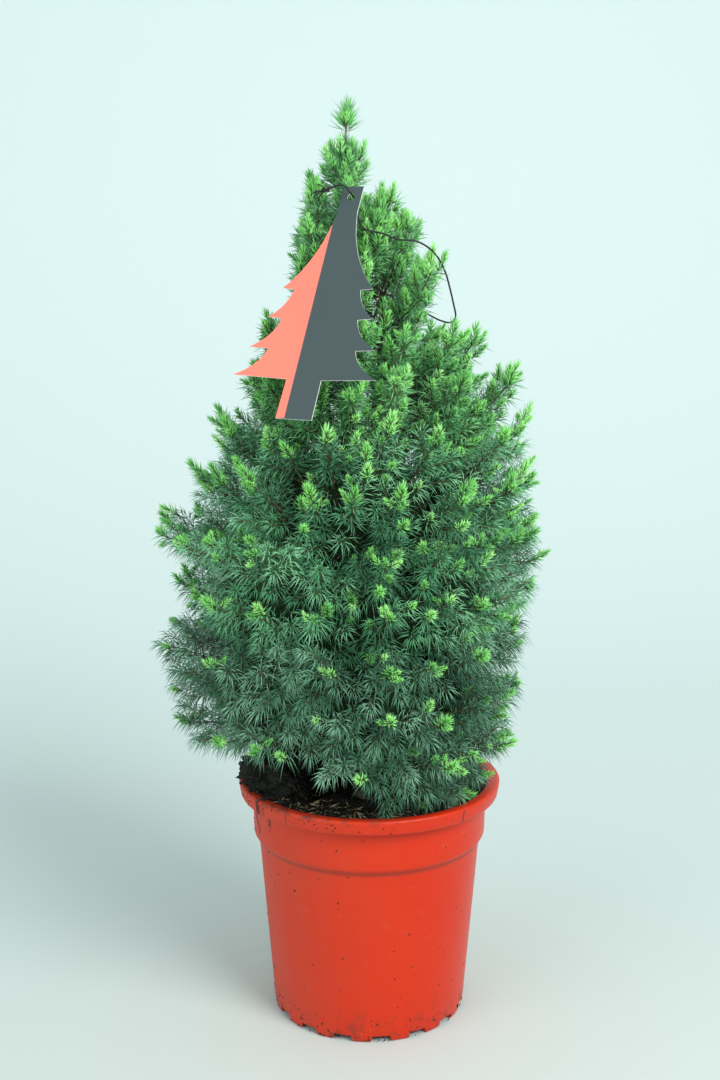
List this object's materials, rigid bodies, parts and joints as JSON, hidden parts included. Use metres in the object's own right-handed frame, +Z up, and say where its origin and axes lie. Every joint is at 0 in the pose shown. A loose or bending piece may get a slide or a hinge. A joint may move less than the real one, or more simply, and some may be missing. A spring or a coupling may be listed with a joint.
{
  "type": "potted alberta spruce",
  "caption": "Small conical dwarf spruce with dense fine needles, growing in a glossy orange-red nursery pot filled with dark compost, with a blank tree-shaped hang tag on an elastic loop.",
  "frame": {"origin": "centre of the pot's flat underside", "axes": "+Z up along the pot's axis, -Y towards the front, where the tag hangs, +X to the viewer's right"},
  "size_m": [0.3114, 0.301, 0.7129],
  "materials": {
    "pot_plastic": "glossy orange-red moulded plastic with specks of dirt",
    "compost": "rough dark moist compost",
    "bark": "rough brown bark",
    "needles": "satin blue-green needles with paler new growth",
    "tag_card": "smooth coated card",
    "elastic": "black covered elastic"
  },
  "bodies": {
    "root": {"pot": "pot_plastic", "soil": "compost", "trunk": "bark", "bough_1a": "bark", "foliage_1a": "needles", "bough_1b": "bark", "foliage_1b": "needles", "bough_1c": "bark", "foliage_1c": "needles", "bough_1d": "bark", "foliage_1d": "needles", "bough_1e": "bark", "foliage_1e": "needles", "bough_2a": "bark", "foliage_2a": "needles", "bough_2b": "bark", "foliage_2b": "needles", "bough_2c": "bark", "foliage_2c": "needles", "bough_2d": "bark", "foliage_2d": "needles", "bough_2e": "bark", "foliage_2e": "needles", "bough_3a": "bark", "foliage_3a": "needles", "bough_3b": "bark", "foliage_3b": "needles", "bough_3c": "bark", "foliage_3c": "needles", "bough_3d": "bark", "foliage_3d": "needles", "bough_3e": "bark", "foliage_3e": "needles", "bough_4a": "bark", "foliage_4a": "needles", "bough_4b": "bark", "foliage_4b": "needles", "bough_4c": "bark", "foliage_4c": "needles", "bough_4d": "bark", "foliage_4d": "needles", "bough_5a": "bark", "foliage_5a": "needles", "bough_5b": "bark", "foliage_5b": "needles", "bough_5c": "bark", "foliage_5c": "needles", "bough_6a": "bark", "foliage_6a": "needles", "bough_6b": "bark", "foliage_6b": "needles", "bough_6c": "bark", "foliage_6c": "needles", "foliage_leader": "needles", "hang_tag": "tag_card", "tag_loop": "elastic"}
  },
  "joints": []
}
